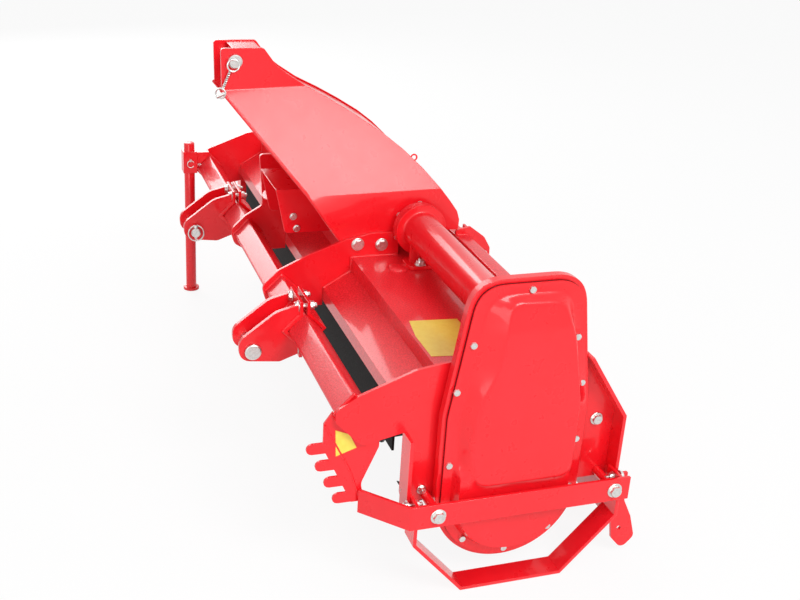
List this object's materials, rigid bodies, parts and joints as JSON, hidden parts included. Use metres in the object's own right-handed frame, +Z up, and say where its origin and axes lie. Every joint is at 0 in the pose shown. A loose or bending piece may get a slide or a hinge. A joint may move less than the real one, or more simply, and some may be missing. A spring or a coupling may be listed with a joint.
{
  "type": "rotavator",
  "caption": "Tractor-mounted rotavator: bladed rotor under a bent hood, side gear case, arched mast for the three-point linkage, skids and a sprung trailing board.",
  "frame": {"origin": "on the ground, under the middle of the machine's bounding box", "axes": "+X across the machine towards its left end, with the gear case; -Y forwards, towards the tractor; +Z up"},
  "size_m": [1.9322, 0.9274, 1.04],
  "materials": {
    "red_paint": "glossy bright red powder coat, lightly speckled on the hood",
    "zinc_plate": "bright zinc plate",
    "bare_steel": "machined steel, lightly oiled",
    "black_paint": "satin black paint",
    "gasket": "matt black gasket"
  },
  "bodies": {
    "frame": {"front_bar": "red_paint", "rear_beam": "red_paint", "hood": "red_paint", "strap_guard": "red_paint", "comb_guard": "red_paint", "board_stop": "red_paint", "gear_case_housing": "red_paint", "gear_case_cover": "red_paint", "mast_web": "red_paint", "shaft_shield": "red_paint", "stand_sleeve": "red_paint", "gearbox": "red_paint", "side_drive_tube": "red_paint", "tube_saddle": "red_paint", "bearing_housing": "red_paint", "end_plate_left": "red_paint", "skid_left": "red_paint", "hitch_plate_left": "red_paint", "mast_plate_left": "red_paint", "lower_bracket_left": "red_paint", "rear_clamp_left": "red_paint", "rear_bracket_left": "red_paint", "end_plate_right": "red_paint", "skid_right": "red_paint", "hitch_plate_right": "red_paint", "mast_plate_right": "red_paint", "lower_bracket_right": "red_paint", "rear_clamp_right": "red_paint", "rear_bracket_right": "red_paint", "top_link_pin": "zinc_plate", "hinge_rod": "zinc_plate", "lower_pin_left": "zinc_plate", "lower_pin_right": "zinc_plate", "gear_case_gasket": "gasket", "front_flap": "gasket"},
    "rotor": {"rotor_tube": "black_paint", "blade_ring_1": "black_paint", "blade_ring_2": "black_paint", "blade_ring_3": "black_paint", "blade_ring_4": "black_paint", "blade_ring_5": "black_paint", "blade_ring_6": "black_paint", "blade_ring_7": "black_paint", "blade_ring_8": "black_paint"},
    "input_shaft": {"input_shaft": "bare_steel"},
    "stand_leg": {"stand_leg": "red_paint"},
    "trailing_board": {"trailing_board": "red_paint"},
    "spring_rod_left": {"spring_rod_left": "zinc_plate", "board_spring_left": "bare_steel"},
    "spring_rod_right": {"spring_rod_right": "zinc_plate", "board_spring_right": "bare_steel"}
  },
  "joints": [
    {"name": "rotor_spin", "type": "hinge", "parent": "frame", "child": "rotor", "pos_m": [0, 0.05968, 0.22], "axis": [1, 0, 0], "continuous": true},
    {"name": "input_shaft_spin", "type": "hinge", "parent": "frame", "child": "input_shaft", "pos_m": [-0.00415, -0.15, 0.602], "axis": [0, 1, 0], "continuous": true},
    {"name": "trailing_board_hinge", "type": "hinge", "parent": "frame", "child": "trailing_board", "pos_m": [0, 0.33668, 0.322], "axis": [1, 0, 0], "range_deg": [0, 50]},
    {"name": "spring_rod_left_pivot", "type": "hinge", "parent": "frame", "child": "spring_rod_left", "pos_m": [0.17285, 0.26568, 0.506], "axis": [1, 0, 0], "range_deg": [-1, 24], "deforming": ["board_spring_left"]},
    {"name": "spring_rod_right_pivot", "type": "hinge", "parent": "frame", "child": "spring_rod_right", "pos_m": [-0.18115, 0.26568, 0.506], "axis": [1, 0, 0], "range_deg": [-1, 24], "deforming": ["board_spring_right"]},
    {"name": "stand_slide", "type": "slide", "parent": "frame", "child": "stand_leg", "axis": [0, 0, 1], "range_m": [0, 0.25]}
  ],
  "couplings": [
    {"joint": "input_shaft_spin", "follows": "rotor_spin", "ratio": 2.45},
    {"joint": "spring_rod_left_pivot", "follows": "trailing_board_hinge", "ratio": 0.45},
    {"joint": "spring_rod_right_pivot", "follows": "trailing_board_hinge", "ratio": 0.45}
  ]
}
